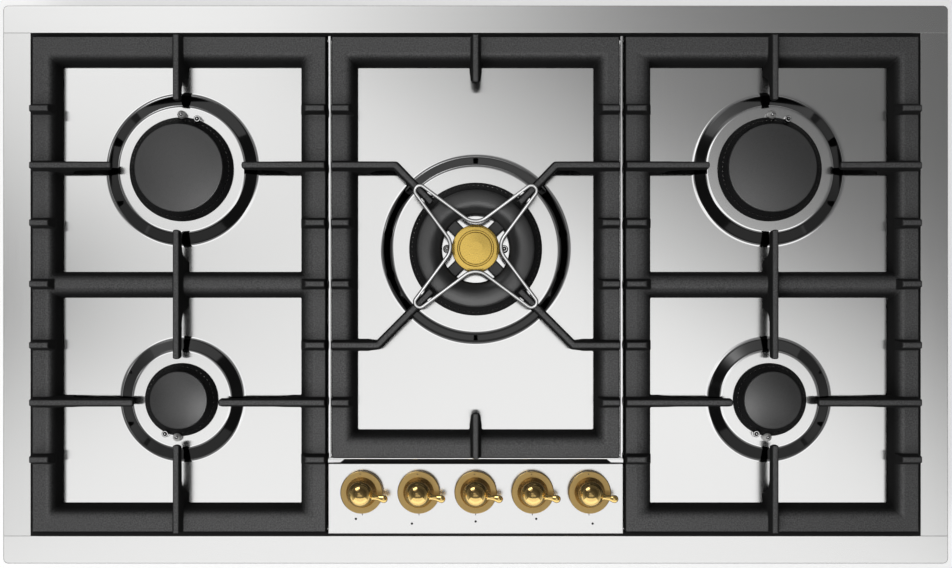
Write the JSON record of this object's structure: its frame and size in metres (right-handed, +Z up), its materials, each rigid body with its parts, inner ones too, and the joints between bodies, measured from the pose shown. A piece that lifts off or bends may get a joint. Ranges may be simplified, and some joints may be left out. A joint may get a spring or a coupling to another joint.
{
  "type": "gas cooktop",
  "caption": "Drop-in gas cooktop in brushed steel with cast iron grates, round burners with loose crowns and caps, a wire wok star and brass lever knobs.",
  "frame": {"origin": "centre of the plan, on the flat underside of the burner box", "axes": "+X to the right along the longest side, +Y to the rear (the knobs are at the front), +Z up out of the worktop"},
  "size_m": [0.914, 0.54, 0.1098],
  "materials": {
    "brushed_stainless": "fine brushed grain, satin",
    "polished_stainless": "polished",
    "galvanised_steel": "zinc coated sheet, dull",
    "cast_iron": "matt vitreous enamel on cast iron, fine grain",
    "black_enamel": "matt black enamel",
    "dark_crown": "heat-darkened, matt",
    "cast_aluminium": "as cast",
    "brass": "satin, fine grain",
    "polished_brass": "polished",
    "valve_brass": "machined",
    "zinc_steel": "zinc plated",
    "ceramic_white": "glazed",
    "black_rubber": "matt",
    "bezel_black": "moulded",
    "module_plastic": "moulded"
  },
  "bodies": {
    "hob": {"front_rail": "brushed_stainless", "rear_rail": "brushed_stainless", "left_rail": "brushed_stainless", "right_rail": "brushed_stainless", "hob_pan": "brushed_stainless", "control_panel": "brushed_stainless", "pan_dividers": "polished_stainless", "pan_front_lip": "polished_stainless", "burner_box": "galvanised_steel", "pan_braces": "galvanised_steel", "manifold_brackets": "galvanised_steel", "side_burner_cups": "cast_aluminium", "centre_burner_cup": "cast_aluminium", "feed_pipes": "cast_aluminium", "valve_bodies": "valve_brass", "injectors": "valve_brass", "gas_inlet_elbow": "valve_brass", "burner_screws": "zinc_steel", "electrode_pins": "zinc_steel", "flame_sensors": "zinc_steel", "gas_manifold": "zinc_steel", "electrode_ceramics": "ceramic_white", "rubber_seals": "black_rubber", "knob_bezels": "bezel_black", "spark_module": "module_plastic", "terminal_block": "module_plastic", "cable_gland": "module_plastic"},
    "left_grate": {"left_grate": "cast_iron", "left_grate_feet": "black_rubber"},
    "centre_grate": {"centre_grate": "cast_iron", "centre_grate_feet": "black_rubber"},
    "right_grate": {"right_grate": "cast_iron", "right_grate_feet": "black_rubber"},
    "wok_star": {"wok_star": "polished_stainless"},
    "crown_rear_left": {"crown_rear_left": "dark_crown"},
    "cap_rear_left": {"cap_rear_left": "black_enamel"},
    "crown_rear_right": {"crown_rear_right": "dark_crown"},
    "cap_rear_right": {"cap_rear_right": "black_enamel"},
    "crown_front_left": {"crown_front_left": "dark_crown"},
    "cap_front_left": {"cap_front_left": "black_enamel"},
    "crown_front_right": {"crown_front_right": "dark_crown"},
    "cap_front_right": {"cap_front_right": "black_enamel"},
    "crown_centre": {"crown_centre": "dark_crown"},
    "ring_cap_centre": {"ring_cap_centre": "black_enamel"},
    "inner_cap_centre": {"inner_cap_centre": "brass"},
    "valve_plug_1": {"valve_plug_1": "valve_brass"},
    "knob_1": {"knob_1": "polished_brass", "spindle_1": "zinc_steel"},
    "valve_plug_2": {"valve_plug_2": "valve_brass"},
    "knob_2": {"knob_2": "polished_brass", "spindle_2": "zinc_steel"},
    "valve_plug_3": {"valve_plug_3": "valve_brass"},
    "knob_3": {"knob_3": "polished_brass", "spindle_3": "zinc_steel"},
    "valve_plug_4": {"valve_plug_4": "valve_brass"},
    "knob_4": {"knob_4": "polished_brass", "spindle_4": "zinc_steel"},
    "valve_plug_5": {"valve_plug_5": "valve_brass"},
    "knob_5": {"knob_5": "polished_brass", "spindle_5": "zinc_steel"}
  },
  "joints": [
    {"name": "left_grate_lift", "type": "slide", "parent": "hob", "child": "left_grate", "axis": [0, 0, 1], "range_m": [0, 0.08]},
    {"name": "centre_grate_lift", "type": "slide", "parent": "hob", "child": "centre_grate", "axis": [0, 0, 1], "range_m": [0, 0.08]},
    {"name": "right_grate_lift", "type": "slide", "parent": "hob", "child": "right_grate", "axis": [0, 0, 1], "range_m": [0, 0.08]},
    {"name": "wok_star_lift", "type": "slide", "parent": "centre_grate", "child": "wok_star", "axis": [0, 0, 1], "range_m": [0, 0.06]},
    {"name": "crown_rear_left_lift", "type": "slide", "parent": "hob", "child": "crown_rear_left", "axis": [0, 0, 1], "range_m": [0, 0.04]},
    {"name": "cap_rear_left_lift", "type": "slide", "parent": "crown_rear_left", "child": "cap_rear_left", "axis": [0, 0, 1], "range_m": [0, 0.03]},
    {"name": "crown_rear_right_lift", "type": "slide", "parent": "hob", "child": "crown_rear_right", "axis": [0, 0, 1], "range_m": [0, 0.04]},
    {"name": "cap_rear_right_lift", "type": "slide", "parent": "crown_rear_right", "child": "cap_rear_right", "axis": [0, 0, 1], "range_m": [0, 0.03]},
    {"name": "crown_front_left_lift", "type": "slide", "parent": "hob", "child": "crown_front_left", "axis": [0, 0, 1], "range_m": [0, 0.04]},
    {"name": "cap_front_left_lift", "type": "slide", "parent": "crown_front_left", "child": "cap_front_left", "axis": [0, 0, 1], "range_m": [0, 0.03]},
    {"name": "crown_front_right_lift", "type": "slide", "parent": "hob", "child": "crown_front_right", "axis": [0, 0, 1], "range_m": [0, 0.04]},
    {"name": "cap_front_right_lift", "type": "slide", "parent": "crown_front_right", "child": "cap_front_right", "axis": [0, 0, 1], "range_m": [0, 0.03]},
    {"name": "crown_centre_lift", "type": "slide", "parent": "hob", "child": "crown_centre", "axis": [0, 0, 1], "range_m": [0, 0.006]},
    {"name": "ring_cap_centre_lift", "type": "slide", "parent": "crown_centre", "child": "ring_cap_centre", "axis": [0, 0, 1], "range_m": [0, 0.002]},
    {"name": "inner_cap_centre_lift", "type": "slide", "parent": "crown_centre", "child": "inner_cap_centre", "axis": [0, 0, 1], "range_m": [0, 0.002]},
    {"name": "knob_1_turn", "type": "hinge", "parent": "hob", "child": "valve_plug_1", "pos_m": [-0.1096, -0.2, 0.05], "axis": [0, 0, 1], "range_deg": [0, 210]},
    {"name": "knob_1_push", "type": "slide", "parent": "valve_plug_1", "child": "knob_1", "axis": [0, 0, -1], "range_m": [0, 0.004], "stiffness_N_per_m": 800, "springref_m": -0.004},
    {"name": "knob_2_turn", "type": "hinge", "parent": "hob", "child": "valve_plug_2", "pos_m": [-0.0548, -0.2, 0.05], "axis": [0, 0, 1], "range_deg": [0, 210]},
    {"name": "knob_2_push", "type": "slide", "parent": "valve_plug_2", "child": "knob_2", "axis": [0, 0, -1], "range_m": [0, 0.004], "stiffness_N_per_m": 800, "springref_m": -0.004},
    {"name": "knob_3_turn", "type": "hinge", "parent": "hob", "child": "valve_plug_3", "pos_m": [0, -0.2, 0.05], "axis": [0, 0, 1], "range_deg": [0, 210]},
    {"name": "knob_3_push", "type": "slide", "parent": "valve_plug_3", "child": "knob_3", "axis": [0, 0, -1], "range_m": [0, 0.004], "stiffness_N_per_m": 800, "springref_m": -0.004},
    {"name": "knob_4_turn", "type": "hinge", "parent": "hob", "child": "valve_plug_4", "pos_m": [0.0548, -0.2, 0.05], "axis": [0, 0, 1], "range_deg": [0, 210]},
    {"name": "knob_4_push", "type": "slide", "parent": "valve_plug_4", "child": "knob_4", "axis": [0, 0, -1], "range_m": [0, 0.004], "stiffness_N_per_m": 800, "springref_m": -0.004},
    {"name": "knob_5_turn", "type": "hinge", "parent": "hob", "child": "valve_plug_5", "pos_m": [0.1096, -0.2, 0.05], "axis": [0, 0, 1], "range_deg": [0, 210]},
    {"name": "knob_5_push", "type": "slide", "parent": "valve_plug_5", "child": "knob_5", "axis": [0, 0, -1], "range_m": [0, 0.004], "stiffness_N_per_m": 800, "springref_m": -0.004}
  ]
}
